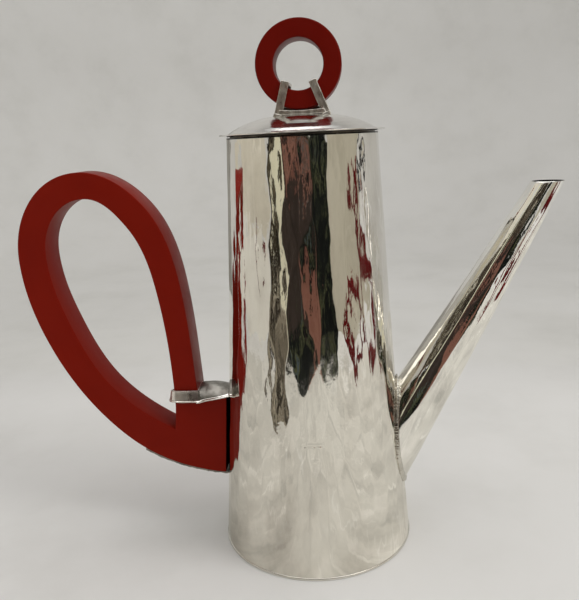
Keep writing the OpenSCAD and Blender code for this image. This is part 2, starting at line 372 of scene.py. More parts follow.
def add_noise(tree, scale, detail, roughness, stretch=(1, 1, 1)):
    """Noise over the object's own coordinates; scale is in cycles per metre."""
    place = tree.nodes.new("ShaderNodeTexCoord")
    mapping = tree.nodes.new("ShaderNodeMapping")
    mapping.inputs["Scale"].default_value = stretch
    tree.links.new(place.outputs["Object"], mapping.inputs["Vector"])
    noise = tree.nodes.new("ShaderNodeTexNoise")
    noise.inputs["Scale"].default_value = scale
    noise.inputs["Detail"].default_value = detail
    noise.inputs["Roughness"].default_value = roughness
    tree.links.new(mapping.outputs["Vector"], noise.inputs["Vector"])
    return noise.outputs["Fac"]


def add_ramp(tree, source, stops):
    """A colour ramp with stops of (position, colour or grey value)."""
    ramp = tree.nodes.new("ShaderNodeValToRGB")
    elements = ramp.color_ramp.elements
    while len(elements) < len(stops):
        elements.new(0.5)
    for element, (position, value) in zip(elements, stops):
        element.position = position
        colour = (value, value, value) if isinstance(value, (int, float)) else value
        element.color = (*colour, 1)
    tree.links.new(source, ramp.inputs["Fac"])
    return ramp.outputs["Color"]


def add_bump(tree, shader, layers):
    """Stacks bumps of (height source, strength, distance in metres)."""
    normal = None
    for height, strength, distance in layers:
        bump = tree.nodes.new("ShaderNodeBump")
        bump.inputs["Strength"].default_value = strength
        bump.inputs["Distance"].default_value = distance
        tree.links.new(height, bump.inputs["Height"])
        if normal is not None:
            tree.links.new(normal, bump.inputs["Normal"])
        normal = bump.outputs["Normal"]
    tree.links.new(normal, shader.inputs["Normal"])


def add_tool_marks(tree, shader, marks, grain):
    """Bumps of soft dimples and of fine upright scratches, each with its strength."""
    scratches = add_noise(tree, 1400, 3, 0.6, (1, 1, 0.12))
    dimples = add_noise(tree, 320, 3, 0.5, (1, 1, 0.4))
    add_bump(tree, shader, [(dimples, marks, 0.0004), (scratches, grain, 0.00004)])


def make_matt(shader, shine):
    shader.inputs["Roughness"].default_value = 0.9
    shader.inputs["Specular IOR Level"].default_value = shine


def silver(name, light, dark, smooth, rough, marks, grain, fineness=1.0):
    """Polished or worn silver: tarnish between two colours, uneven polish and fine marks."""
    material, tree, shader = new_material(name)
    shader.inputs["Metallic"].default_value = 1.0
    tone = add_noise(tree, 55 * fineness, 5, 0.6, (1, 1, 0.45))
    tree.links.new(add_ramp(tree, tone, [(0.3, dark), (0.62, light)]), shader.inputs["Base Color"])
    polish = add_noise(tree, 90 * fineness, 6, 0.65, (1, 1, 0.35))
    tree.links.new(add_ramp(tree, polish, [(0.35, smooth), (0.75, rough)]), shader.inputs["Roughness"])
    add_tool_marks(tree, shader, marks, grain)
    return material


def object_axis(tree, axis):
    """The X, Y or Z of a point in the object's own coordinates, in metres."""
    place = tree.nodes.new("ShaderNodeTexCoord")
    split = tree.nodes.new("ShaderNodeSeparateXYZ")
    tree.links.new(place.outputs["Object"], split.inputs["Vector"])
    return split.outputs[axis]


def add_mix(tree, factor, first, second, blend="MIX"):
    """Mixes two colours; each input is a colour or an output of another node."""
    mix = tree.nodes.new("ShaderNodeMix")
    mix.data_type = "RGBA"
    mix.blend_type = blend
    # these sockets are its factor and its two colours
    for socket, value in zip((mix.inputs[0], mix.inputs[6], mix.inputs[7]), (factor, first, second)):
        if isinstance(value, bpy.types.NodeSocket):
            tree.links.new(value, socket)
        elif isinstance(value, tuple):
            socket.default_value = (*value, 1)
        else:
            socket.default_value = value
    return mix.outputs[2]


def hammered_silver(name, dull, mid, bright):
    """Planished silver: soft clouds of tarnish, uneven polish and thin bright squiggles of painted
    highlight, standing in for glints on the dishes' ridges.
    """
    material, tree, shader = new_material(name)
    shader.inputs["Metallic"].default_value = 1.0
    clouds = add_ramp(tree, add_noise(tree, 42, 6, 0.62, (1, 1, 0.45)), [
        (0.32, dull), (0.47, mid), (0.66, bright)])
    # painted highlight: thin near-white lines, in patches, stand in for glints
    painted_glints = add_ramp(tree, add_noise(tree, 170, 3, 0.5, (1, 1, 0.2)), [(0.47, 0.0), (0.5, 1.0), (0.53, 0.0)])
    where = add_ramp(tree, add_noise(tree, 36, 3, 0.5), [(0.54, 0.0), (0.64, 0.9)])
    rubbed = add_mix(tree, 1.0, painted_glints, where, "MULTIPLY")
    tree.links.new(add_mix(tree, rubbed, clouds, (0.985, 0.97, 0.93)), shader.inputs["Base Color"])
    polish = add_noise(tree, 90, 6, 0.65, (1, 1, 0.35))
    tree.links.new(add_ramp(tree, polish, [(0.35, 0.025), (0.75, 0.10)]), shader.inputs["Roughness"])
    add_tool_marks(tree, shader, 0.15, 0.1)
    return material


def lacquer(name, dark, light):
    """Satin red lacquer over wood, with a faint uneven ground and dull rubbed patches."""
    material, tree, shader = new_material(name)
    tone = add_noise(tree, 28, 4, 0.55)
    tree.links.new(add_ramp(tree, tone, [(0.3, dark), (0.7, light)]), shader.inputs["Base Color"])
    rub = add_noise(tree, 120, 6, 0.6)
    tree.links.new(add_ramp(tree, rub, [(0.35, 0.28), (0.72, 0.42)]), shader.inputs["Roughness"])
    shader.inputs["IOR"].default_value = 1.5
    shader.inputs["Specular IOR Level"].default_value = 0.065
    ground = add_noise(tree, 160, 3, 0.5)
    dust = add_noise(tree, 2600, 2, 0.5)
    add_bump(tree, shader, [(ground, 0.25, 0.0003), (dust, 0.2, 0.00003)])
    return material


def gap_shade_wood():
    """End grain painted near black and without shine: painted shade in the narrow gap against the wall."""
    material, tree, shader = new_material("gap_shade_wood")
    grain = add_noise(tree, 900, 4, 0.6, (1, 0.3, 1))
    tree.links.new(add_ramp(tree, grain, [(0.3, (0.006, 0.003, 0.002)), (0.7, (0.014, 0.007, 0.005))]),
                   shader.inputs["Base Color"])
    make_matt(shader, 0.0)
    return material


def paper():
    """Matt pale paper with faint grey smudges; it is painted a little darker behind the pot and towards +X,
    as painted shade.
    """
    material, tree, shader = new_material("pale_paper")
    tone = add_ramp(tree, add_noise(tree, 11, 6, 0.6), [
        (0.25, (0.69, 0.685, 0.67)), (0.5, (0.75, 0.745, 0.735)), (0.75, (0.775, 0.77, 0.765))])
    # painted shade: darker paper behind the pot
    behind = add_ramp(tree, object_axis(tree, "Y"),
                      [(0.165, 1.0), (0.215, 0.95), (0.25, (0.925, 0.925, 0.915))])
    tone = add_mix(tree, 1.0, tone, behind, "MULTIPLY")
    # painted shade: darker paper towards +X
    painted_shade_right = add_ramp(tree, object_axis(tree, "X"), [(0.0, 1.0), (0.20, 0.93), (0.6, 0.89)])
    tree.links.new(add_mix(tree, 1.0, tone, painted_shade_right, "MULTIPLY"), shader.inputs["Base Color"])
    shader.inputs["Roughness"].default_value = 0.6
    return material


def smudge_and_shade_paper():
    """Paper with cloudy smudges, darker than the floor as painted shade, and fine pale streaks, which
    polished silver picks up.
    """
    material, tree, shader = new_material("smudge_and_shade_paper")
    # darker than the floor's paper: smudges, and painted shade on the floor in front of the pot
    clouds = add_ramp(tree, add_noise(tree, 34, 8, 0.62, (1, 0.3, 1)), [
        (0.30, (0.46, 0.45, 0.42)), (0.44, (0.60, 0.585, 0.545)), (0.56, (0.68, 0.665, 0.62)),
        (0.66, (0.76, 0.74, 0.70))])
    streaks = add_ramp(tree, add_noise(tree, 85, 3, 0.5, (1, 0.16, 1)), [(0.60, 0.0), (0.68, 0.5)])
    tree.links.new(add_mix(tree, streaks, clouds, (0.97, 0.96, 0.92)), shader.inputs["Base Color"])
    make_matt(shader, 0.1)
    return material


def stripes(name, stops, scale=9, stretch=0.1):
    """A dull material in uneven upright stripes."""
    material, tree, shader = new_material(name)
    tone = add_noise(tree, scale, 4, 0.6, (1, 1, stretch))
    tree.links.new(add_ramp(tree, tone, stops), shader.inputs["Base Color"])
    make_matt(shader, 0.1)
    return material


POLISHED = hammered_silver("hammered_silver", (0.66, 0.63, 0.58), (0.82, 0.795, 0.74), (0.90, 0.88, 0.825))
# painted light: a lighter copy of the wall's silver, for the spout
SPOUT_PAINTED_LIGHT_SILVER = hammered_silver("spout_painted_light_silver", (0.78, 0.765, 0.73), (0.94, 0.93, 0.89), (0.99, 0.98, 0.95))
LID_SILVER = silver("lid_silver", (0.92, 0.90, 0.87), (0.80, 0.78, 0.75), 0.10, 0.19, 0.08, 0.15)
WORN = silver("worn_silver", (0.37, 0.355, 0.325), (0.15, 0.14, 0.125), 0.30, 0.48, 0.6, 0.5, 2.6)
BAND_SILVER = silver("band_silver", (0.92, 0.88, 0.84), (0.36, 0.29, 0.27), 0.24, 0.42, 0.3, 0.4, 1.8)
BURNISHED = silver("burnished_silver", (0.94, 0.92, 0.88), (0.74, 0.72, 0.67), 0.10, 0.24, 0.2, 0.3, 2.0)
KNOB_SILVER = silver("knob_silver", (0.99, 0.97, 0.91), (0.36, 0.34, 0.29), 0.26, 0.42, 0.6, 0.5, 6.5)
PLAIN = silver("plain_silver", (0.80, 0.78, 0.74), (0.66, 0.64, 0.58), 0.14, 0.30, 0.15, 0.3)
SOLDER = silver("silver_solder", (0.78, 0.76, 0.71), (0.40, 0.38, 0.33), 0.10, 0.30, 0.6, 0.5, 2.0)
LACQUER = lacquer("red_lacquer", (0.185, 0.0072, 0.0022), (0.222, 0.0096, 0.0030))
RING_LACQUER = lacquer("ring_lacquer", (0.128, 0.0040, 0.0014), (0.150, 0.0052, 0.0018))
GAP_SHADE_WOOD = gap_shade_wood()
# near-black silver used as painted shade: on the top of the wall under the lid's flange and inside the
# spout
SHADOWED = silver("painted_shade_silver", (0.045, 0.042, 0.040), (0.015, 0.014, 0.013), 0.2, 0.4, 0.1, 0.1)
# dark silver: tarnish, and painted shade on the lid's bezel in the gap under the flange and on the back bar
# behind the ring
TARNISH_AND_SHADE = silver("tarnish_and_shade_silver", (0.22, 0.20, 0.17), (0.08, 0.07, 0.06), 0.3, 0.5, 0.3, 0.3)

# -------- body

RIM_SHADE = 0.6              # the wall is painted black over this height below the rim, as painted shade under the lid's flange
WALL_COLUMNS = 480
WALL_ROWS = 300
SHEET = 1.0                 # thickness of the wall's sheet
WALL_LINE = smooth_open(np.stack(outer_radius("body_wall"), 1), 2)      # [height, radius]


def wall_radius(z):
    """The wall's outer radius at a height."""
    return np.interp(z, *WALL_LINE.T)


WALL_MARKS_R = 40           # the marks are laid out on a cylinder of this radius
# layers of hammer marks: a dish's width and height, its depth, its lean, and the seed
WALL_MARKS = ((7.5, 22, 0.15, 0.03, 11), (3.4, 9, 0.032, 0.018, 12))
WALL_RIPPLE = 0.06          # height of the slow waves
RIPPLE_SEED = 13
MARKS_LEFT = 0.2            # share of the marks' depth that is left at the rim and the base
RIM_FADE = 4                # the marks fade over this height below the rim
BASE_FADE = 3               # and over this height above the base

# level dents in the wall: the angles where each starts and ends, its height and its depth
DENTS = ((267, 278, 62.0, 0.14), (242.3, 245.2, 62.2, 0.10), (272.5, 275.5, 54.7, 0.06))
DENT_HALF = 0.6             # half the width of a dent

STRAINER_R = 1.5            # radius of the holes in the wall behind the spout
STRAINER_PITCH = 6.0
STRAINER_Z = 54.0           # middle of the pierced patch
STRAINER_HALF = (9.5, 16.0)


def level_dents(theta, z):
    """How far the dents go in; each is a short level groove with round ends."""
    total = np.zeros_like(z)
    for start, end, height, depth in DENTS:
        middle, half = radians(start + end) / 2, radians(end - start) / 2
        beyond = np.maximum(0, np.abs(theta - middle) - half) * wall_radius(height)
        total += depth * np.exp(-(beyond**2 + (z - height)**2) / DENT_HALF**2)
    return total


def strainer_centres():
    """[y, z] of the holes, which are staggered inside an oval patch."""
    centres = []
    row_pitch = STRAINER_PITCH * sin(radians(60))
    rows, columns = int(STRAINER_HALF[1] // row_pitch), int(STRAINER_HALF[0] // STRAINER_PITCH) + 1
    for i in range(-rows, rows + 1):
        for j in range(-columns, columns + 1):
            y, z = (j + 0.5 * (i % 2)) * STRAINER_PITCH, i * row_pitch
            if (y / STRAINER_HALF[0])**2 + (z / STRAINER_HALF[1])**2 <= 1:
                centres.append((y, STRAINER_Z + z))
    return centres


def pierce(points, faces, partner):
    """Opens the strainer holes through a sheet; partner gives a point's twin on the other skin."""
    flat = points.reshape(-1, 3)
    for y, z in strainer_centres():
        away = np.hypot(flat[:, 1] - y, flat[:, 2] - z)
        inside = (away < STRAINER_R) & (flat[:, 0] > 0)
        cut = inside[faces].any(axis=1)
        kept = {(a, b) for face in faces[~cut & (away[faces].min(axis=1) < 2 * STRAINER_R)]
                for a, b in zip(face, np.roll(face, -1))}
        rim = [(a, b) for face in faces[cut] for a, b in zip(face, np.roll(face, -1))
               if (b, a) in kept]
        edge = np.unique([a for pair in rim for a in pair])
        flat[edge, 1:] = np.array([y, z]) + (
            (flat[edge, 1:] - [y, z]) * (STRAINER_R / away[edge])[:, None])
        half = len(flat) // 2
        bridge = [(a, b, partner[b], partner[a]) for a, b in rim if a < half]
        faces = np.concatenate([faces[~cut], bridge])
    return flat, faces


def body_wall():
    low, high = box_mm("body_wall")
    angle = np.linspace(0, 2 * pi, WALL_COLUMNS, endpoint=False)
    height = np.linspace(low[2], high[2], WALL_ROWS)
    theta, z = np.meshgrid(angle, height)
    radius = wall_radius(z)
    girth = 2 * pi * WALL_MARKS_R
    across = theta / (2 * pi) * girth
    dent = sum(hammer_marks(across, z, girth, high[2], *layer) for layer in WALL_MARKS)
    dent += WALL_RIPPLE * ripples(across, z, girth, RIPPLE_SEED)
    dent -= dent.mean() + level_dents(theta, z)
    fade = np.clip((high[2] - z) / RIM_FADE, 0, 1) * np.clip((z - low[2]) / BASE_FADE, 0, 1)
    outside = radius + dent * (MARKS_LEFT + (1 - MARKS_LEFT) * fade)
    inside = outside - SHEET
    rows = np.concatenate([outside, inside[::-1]])
    heights = np.concatenate([z, z[::-1]])
    turns = np.broadcast_to(angle, rows.shape)
    points = np.stack([rows * np.cos(turns), rows * np.sin(turns), heights], -1)
    index = np.arange(rows.size).reshape(rows.shape)
    faces = quads(len(rows) + 1, WALL_COLUMNS) % rows.size
    wall = make_piece("hammered_wall", *pierce(points, faces, index[::-1].ravel()), "pot",
                      "silver_wall", POLISHED, ["body_wall"])
    # painted shade: the wall's top row, under the lid's flange, is near black
    paint(wall, SHADOWED, lambda at, normals: at[:, 2] > high[2] - RIM_SHADE)


def base_plate():
    """The plate under the wall; the edge that shows is worn round, below and above."""
    low, high = box_mm("base_disc")
    edge = rounded([[0, low[2]], [high[0], low[2]], [high[0], high[2]], [0, high[2]]],
                   [0, 0.35, 0.5, 0])
    make_piece("base_plate", *lathe(edge, 180), "pot", "silver_plain", PLAIN, ["base_disc"])


# -------- spout

TUBE_COLUMNS = 120
TUBE_ROWS = 220
TUBE_SHEET = 0.9
TILT = radians(60.4)        # of the tube's axis, from level
TAPER = tan(radians(3.35))  # growth of the radius down the axis
TIP_X = 105.0               # middle of the mouth
TIP_R = 6.0                 # radius at the mouth, square to the tube's axis
LIP_LENGTH = 4.0            # the tube thins over this length to its mouth
LIP_SHARE = 0.45            # share of the sheet's thickness that is left at the mouth
LIP_ROUND = 0.12            # how far the mouth's two edges are worn down
FOOT_SINK = 0.6             # how far the tube's foot is let into the wall's sheet
TUBE_MARKS_R = 8.5          # as for the wall
TUBE_MARKS_LENGTH = 140
TUBE_MARKS = ((3.2, 30, 0.12, 0.07, 21), (1.6, 10, 0.025, 0.03, 22))
TUBE_MARKS_LEFT = 0.05      # share of their depth that is left at the mouth
TUBE_FADE = 1 / 12          # the marks fade over this share of the tube's length


def spout_tube():
    top = box_mm("spout_tube")[1][2]
    centre = np.array([TIP_X, 0, top])
    down = np.array([-cos(TILT), 0, -sin(TILT)])
    side = np.array([0, 1.0, 0])
    front = np.cross(down, side)
    angle = np.linspace(0, 2 * pi, TUBE_COLUMNS, endpoint=False)
    ring = np.cos(angle)[:, None] * front + np.sin(angle)[:, None] * side

    def surface(s, grow):
        return centre + s[..., None] * down + (TIP_R + s * TAPER + grow)[..., None] * ring

    def solve(above, start, end, grow):
        """Distance down the axis at which a line of the tube crosses from one side to the other."""
        a = np.full(TUBE_COLUMNS, float(start))
        b = np.full(TUBE_COLUMNS, float(end))
        for _ in range(40):
            middle = (a + b) / 2
            outside = above(surface(middle, grow))
            a = np.where(outside, middle, a)
            b = np.where(outside, b, middle)
        return a

    def over_mouth(points):
        return points[..., 2] > top - 0.05

    def off_wall(points):
        return np.hypot(points[..., 0], points[..., 1]) > wall_radius(points[..., 2]) - FOOT_SINK

    shells = []
    for grow in (0, -TUBE_SHEET):
        # each cut lies between two distances down the axis
        first = solve(over_mouth, -15, 15, grow)
        last = solve(off_wall, 20, 150, grow)
        share = np.linspace(0, 1, TUBE_ROWS)[:, None]
        s = first + share * (last - first)
        girth = 2 * pi * TUBE_MARKS_R
        across = np.broadcast_to(angle / (2 * pi) * girth, s.shape)
        dent = sum(hammer_marks(across, s, girth, TUBE_MARKS_LENGTH, *layer) for layer in TUBE_MARKS)
        dent -= dent.mean()
        fade = np.clip(share / TUBE_FADE, TUBE_MARKS_LEFT, 1)
        shells.append(surface(s, grow + dent * fade))
    outer, inner = shells
    thin = np.clip((s - first) / LIP_LENGTH, 0, 1)[..., None]
    inner = outer + (inner - outer) * (LIP_SHARE + (1 - LIP_SHARE) * thin)
    lip = (outer[:1] + inner[:1]) / 2
    lip[..., 2] = top
    outer[0, :, 2] -= LIP_ROUND
    inner[0, :, 2] -= LIP_ROUND
    points = np.concatenate([outer, inner[::-1], lip, outer[:1]])
    piece = make_piece("spout", points, quads(len(points), TUBE_COLUMNS), "pot", "silver_wall",
                       SPOUT_PAINTED_LIGHT_SILVER, ["spout_tube"])

    def faces_axis(at, normals):
        place = at - centre
        return (normals * (place - (place @ down)[:, None] * down)).sum(axis=1) < 0

    # painted shade: the inside of the tube is near black
    paint(piece, SHADOWED, faces_axis)


# -------- softened copies of CAD nodes

def soften(piece, voxel, smoothing):
    """Fuses a piece into one skin and wears its edges round."""
    remesh = piece.modifiers.new("remesh", "REMESH")
    remesh.mode = "VOXEL"
    remesh.voxel_size = voxel * MM
    remesh.use_smooth_shade = True
    smooth = piece.modifiers.new("smooth", "SMOOTH")
    smooth.factor = 0.5
    smooth.iterations = smoothing
    material = piece.data.materials[0]
    done = piece.evaluated_get(bpy.context.evaluated_depsgraph_get())
    piece.data = bpy.data.meshes.new_from_object(done)
    piece.modifiers.clear()
    piece.data.materials.clear()
    piece.data.materials.append(material)


def softened(name, node, body, material, voxel, smoothing):
    """A copy of a CAD node's shape with its edges worn round."""
    piece = dress(add_object(name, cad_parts[node].data.copy()), body, material, [node])
    soften(piece, voxel, smoothing)
    return piece


LUMPS = (0.9, 2.0, 3)       # fading and fineness of each step of lumps, and the number of steps


def roughen(piece, depth, scale, swell=0.0):
    """Pits a dense skin by up to about depth, over lumps about scale across, and swells it all."""
    mesh = piece.data
    place = read_each(mesh.vertices, "co")
    normal = read_each(mesh.vertex_normals, "vector")
    lumps = np.array([fractal(Vector(point), *LUMPS) for point in place / (scale * MM)])
    place += normal * ((swell + lumps * depth) * MM)[:, None]
    mesh.vertices.foreach_set("co", place.ravel())
    mesh.update()


def solder_seam():
    """The lumpy solder round the spout's foot."""
    seam = softened("solder_seam", "spout_seam", "pot", SOLDER, voxel=0.22, smoothing=2)
    roughen(seam, depth=0.2, scale=0.7, swell=0.15)


# -------- handle

EDGE = 0.35                 # radius of the loop's edges
EDGE_STEPS = 4
LOOP_STEP = 1.6             # distance between the points of the loop's outline
BLOCK_END = 3               # the block's end lies within this of the node's wall side


def loop():
    """The loop: the CAD node's outline, curved again, with rounded edges.

    The end of its block that faces the wall is painted near black, as painted shade in the gap against the
    wall.
    """
    low, high = box_mm("handle_loop")
    loops = [smooth_closed(line, LOOP_STEP) for line in flat_face_loops("handle_loop")]
    middle, half = (low[1] + high[1]) / 2, (high[1] - low[1]) / 2
    points, faces, caps = [], [], []
    for line in loops:
        rows = []
        for turn in np.linspace(0, pi / 2, EDGE_STEPS + 1):
            rows.append((inset(line, EDGE * (sin(turn) - 1)), half - EDGE * (1 - cos(turn))))
        rows = [(ring, -y) for ring, y in rows] + [(ring, y) for ring, y in rows[::-1]]
        start = len(points)
        for ring, y in rows:
            points.extend([x, middle + y, z] for x, z in ring)
        faces.extend(quads(len(rows), len(line), start=start).tolist())
        caps.append((start, start + (len(rows) - 1) * len(line), len(line)))
    for end in (0, 1):
        rings = [[Vector((points[cap[end] + i][0], points[cap[end] + i][2], 0))
                  for i in range(cap[2])] for cap in caps]
        index = [cap[end] + i for cap in caps for i in range(cap[2])]
        faces.extend([index[i] for i in face] for face in tessellate_polygon(rings))
    piece = make_piece("lacquered_loop", points, faces, "pot", "lacquer", LACQUER, ["handle_loop"])
    for face in piece.data.polygons:
        face.use_smooth = abs(face.normal.y) < 0.9999
    # painted shade: the block's end against the wall is near black and without shine
    paint(piece, GAP_SHADE_WOOD, lambda at, normals: (normals[:, 0] > 0.9) & (at[:, 0] > high[0] - BLOCK_END))


BAND_LOW = 69.0             # lower lip of the bracket's band
BAND_TOP = 75.0
ARM_OUT = -54.0             # the side of the arm towards the pot, and the far side
ARM_IN = -65.3
BAND_FALL = 0.7             # share of its height that the band loses towards its far side
BAND_LOOSE = 0.9            # the band's clearance from the far side of the arm
BAND_CORNER = 2.6           # radius of the band's corners
BRACKET_SHEET = 0.65
TONGUE_START = ARM_OUT - 0.5
TONGUE_TOP = 75.2           # height of the tongue's middle line where it starts
TONGUE_CROWN = 1.3          # it rises by this half way along
TONGUE_DROP = 1.6           # and is lower by this at the wall
TONGUE_HALF = 6.4           # least half width of the tongue
TONGUE_FLARE = 2.7          # it is wider by this at the arm
WALL_FLANGE = 1.0           # the tongue turns up against the wall by this much
LIP = 1.0                   # how far the bracket's lip stands out from its sides
LIP_START = 0.7             # the tongue's lip starts this far over the band's
LIP_RISE = 2.5              # and is higher by this at the wall
LIP_SHINE = 0.45            # the sides are burnished up to this height over the lip
LIP_SIDE = 6                # the tongue's sides lie farther than this from its middle line


def bracket():
    """One formed sheet: a band round the arm and a tongue over the shoulder to the wall."""
    half = box_mm("handle_loop")[1][1] + 0.1
    solids = [bracket_tongue(), bracket_band(half)]
    points = np.concatenate([solid[0] for solid in solids])
    faces = np.concatenate([solids[0][1], solids[1][1] + len(solids[0][0])])
    piece = make_piece("bracket", points, faces, "pot", "silver_sheet", WORN, ["handle_bracket"])
    soften(piece, voxel=0.2, smoothing=4)
    roughen(piece, depth=0.06, scale=5)

    def on_band(at, normals):
        return at[:, 0] < ARM_OUT + 0.6

    def on_lip(at, normals):
        x, y, z = at.T
        beside = (abs(y) > LIP_SIDE) | (x < ARM_IN)
        return beside & (z < lip_height(tongue_share(x)) + LIP_SHINE)

    paint(piece, BAND_SILVER, on_band)
    paint(piece, BURNISHED, on_lip)


def tongue_share(x):
    """0 at the arm and 1 at the wall."""
    return np.clip((x - ARM_OUT) / (-wall_radius(BAND_TOP) - ARM_OUT), 0, 1)


def lip_height(share):
    """The lip rises from the band's lower edge towards the wall."""
    return BAND_LOW + LIP_START + LIP_RISE * share**0.9


def bracket_tongue():
    """From the arm to the wall, its sides turned down to a lip that rises towards the wall."""
    rows = []
    for share in np.linspace(0, 1, 40):
        top = TONGUE_TOP + TONGUE_CROWN * sin(pi * share) - TONGUE_DROP * share**2
        lip = lip_height(share)
        wide = TONGUE_HALF + TONGUE_FLARE * np.sqrt(1 - 0.9 * share**2)
        y = wide * np.sin(np.linspace(0, pi / 2, 12))
        fullness = 0.35 + 0.45 * min(1, 4 * share)
        side = np.stack([y, lip + (top - lip) * (1 - (y / wide)**2)**fullness], 1)
        side = np.concatenate([side[:-1], [[wide + 0.1, lip + 0.3], [wide + 0.3 + LIP, lip]]])
        section = smooth_open(np.concatenate([side[:0:-1] * [-1, 1], side]), count=61)
        wall = -np.sqrt((wall_radius(top) - 0.5)**2 - section[:, 0]**2)
        x = TONGUE_START + share * (wall - TONGUE_START)
        rows.append(np.stack([x, section[:, 0], section[:, 1]], 1))
    for rise in np.linspace(0.1, 1, 6) * WALL_FLANGE:
        z = section[:, 1] + rise
        x = -np.sqrt((wall_radius(z) + BRACKET_SHEET / 2)**2 - section[:, 0]**2)
        rows.append(np.stack([x, section[:, 0], z], 1))
    return thick_sheet(np.array(rows), -BRACKET_SHEET)


def bracket_band(half):
    """Round three sides of the arm, dished, with a lower lip that stands out."""
    left = ARM_IN - BAND_LOOSE
    plan = rounded([[ARM_OUT + 1.2, -half], [left, -half], [left, half], [ARM_OUT, half]],
                   [0, BAND_CORNER, BAND_CORNER, 0], steps=8)
    plan = smooth_open(plan, count=140)
    along = np.gradient(plan, axis=0)
    along /= np.linalg.norm(along, axis=1)[:, None]
    outward = np.stack([-along[:, 1], along[:, 0]], 1)
    profile = smooth_open([
        [1.3 + LIP, BAND_LOW + 0.4], [1.7, BAND_LOW + 0.65], [1.35, BAND_LOW + 1.15],
        [1.15, BAND_LOW + 2.0], [0.9, BAND_LOW + 3.4], [0.65, BAND_TOP - 1.2], [0.55, BAND_TOP]],
        count=36)
    grid = np.empty((len(profile), len(plan), 3))
    for i, (out, z) in enumerate(profile):
        grid[i, :, :2] = plan + out * outward
        grid[i, :, 2] = z - (z - BAND_LOW) * BAND_FALL * np.clip(0.5 + plan[:, 1] / half / 2, 0, 1)
    return thick_sheet(grid, BRACKET_SHEET)


def handle_parts():
    loop()
    bracket()
    strip = softened("under_strip", "handle_strip", "pot", WORN, voxel=0.2, smoothing=2)
    roughen(strip, depth=0.3, scale=2.5, swell=0.1)


# -------- lid and knob

LID_SHEET = 0.9             # thickness of the dome's sheet
FLANGE_EDGE = 0.45          # thickness of the flange at its edge
FLANGE_ROUND = 0.15         # radius of the flange's edges, and its growth in thickness inwards
RING_EDGE = 0.8             # radius of the ring's edges


def lid():
    """The dome's top line comes from the CAD node; the flange is drawn on to its outer edge."""
    edge = box_mm("lid_dome")[1][0]
    radii, heights = top_height("lid_dome")
    dome = radii < edge - 0.5
    line = smooth_open(np.stack([radii[dome], heights[dome]], 1), 0.8)
    foot = line[-1]
    rim = rounded([foot, [edge, foot[1]], [edge, foot[1] - FLANGE_EDGE],
                   [foot[0], foot[1] - FLANGE_EDGE - FLANGE_ROUND]],
                  [0, FLANGE_ROUND, FLANGE_ROUND, 0])[1:-1]
    outline = np.concatenate([line, rim, (line - [0, LID_SHEET])[::-1]])
    make_piece("lid_top", *lathe(outline, 240), "lid", "silver_lid", LID_SILVER, ["lid_dome"])


def ring_knob():
    low, high = box_mm("knob_ring")
    radius = (high[0] - low[0]) / 2
    hole = np.ptp(flat_face_loops("knob_ring")[1][:, 0]) / 2
    half = (high[1] - low[1]) / 2
    edge = rounded([[hole, -half], [radius, -half], [radius, half], [hole, half]], RING_EDGE)
    points, faces = lathe(edge, 200)
    points = np.stack([points[:, 0], points[:, 2], points[:, 1] + (low[2] + high[2]) / 2], 1)
    make_piece("ring", points, faces, "lid", "lacquer", RING_LACQUER, ["knob_ring"])


def knob_parts():
    ring_knob()
    for name, node in (("left_claw", "knob_claw_left"), ("right_claw", "knob_claw_right"),
                       ("front_bar", "knob_bar_front"), ("back_bar", "knob_bar_back")):
        piece = softened(name, node, "lid", KNOB_SILVER, voxel=0.11, smoothing=4)
        if name == "front_bar":
            reshape_bar(piece, waist=0.55, rise=0)
        if name == "back_bar":
            reshape_bar(piece, waist=0, rise=1.4)
            # painted shade: the back bar is dark, so that the gap under the ring looks black
            piece.data.materials[0] = TARNISH_AND_SHADE
        roughen(piece, depth=0.045, scale=2.5, swell=0.12)


def reshape_bar(piece, waist, rise):
    """Files a bar's top hollow by a share of its height, and lifts its top edge by rise mm."""
    places = read_each(piece.data.vertices, "co").astype(float)
    low, high = places.min(axis=0), places.max(axis=0)
    up = (2 * places[:, 2] - low[2] - high[2]) / (high[2] - low[2])
    out = (2 * places[:, 0] - low[0] - high[0]) / (high[0] - low[0])
    hollow = np.where(up > 0, waist, waist / 4)
    places[:, 2] -= hollow * up * (high[2] - low[2]) / 2 * (1 - out**2)
    places[:, 2] += rise * MM * (1 + up) / 2
    piece.data.vertices.foreach_set("co", places.ravel())
    piece.data.update()


# -------- stage and light

def only_reflected(obj):
    """Leaves an object out of everything but reflections."""
    obj.visible_camera = False
    obj.visible_diffuse = False
    obj.visible_shadow = False


def stage_mesh(name, points, faces, material):
    data = bpy.data.meshes.new(name)
    data.from_pydata([list(map(float, point)) for point in points], [],
                     [list(map(int, face)) for face in faces])
    data.materials.append(material)
    data.shade_smooth()
    obj = add_object(name, data)
    return obj


def round_stage(name, profile, material):
    """A stage mesh turned about Z from a profile of (radius, height) in metres."""
    segments = 96
    points = [[r * cos(a), r * sin(a), z] for r, z in profile
              for a in np.linspace(0, 2 * pi, segments, endpoint=False)]
    return stage_mesh(name, points, quads(len(profile), segments), material)


FLOOR_R = 0.75              # in metres, like all of the stage's sizes
CURVE_R = 0.35              # radius of the curve from the floor to the wall


def tent():
    """Pale paper: a round floor that curves up into a wall on every side."""
    profile = [(0.0, 0.0), (0.25, 0.0), (0.5, 0.0), (FLOOR_R, 0.0)]
    profile += [(FLOOR_R + CURVE_R * sin(t), CURVE_R - CURVE_R * cos(t))
                for t in np.linspace(0.1, pi / 2, 12)]
    profile += [(FLOOR_R + CURVE_R, 0.8), (FLOOR_R + CURVE_R, 1.5)]
    round_stage("floor", profile, paper())


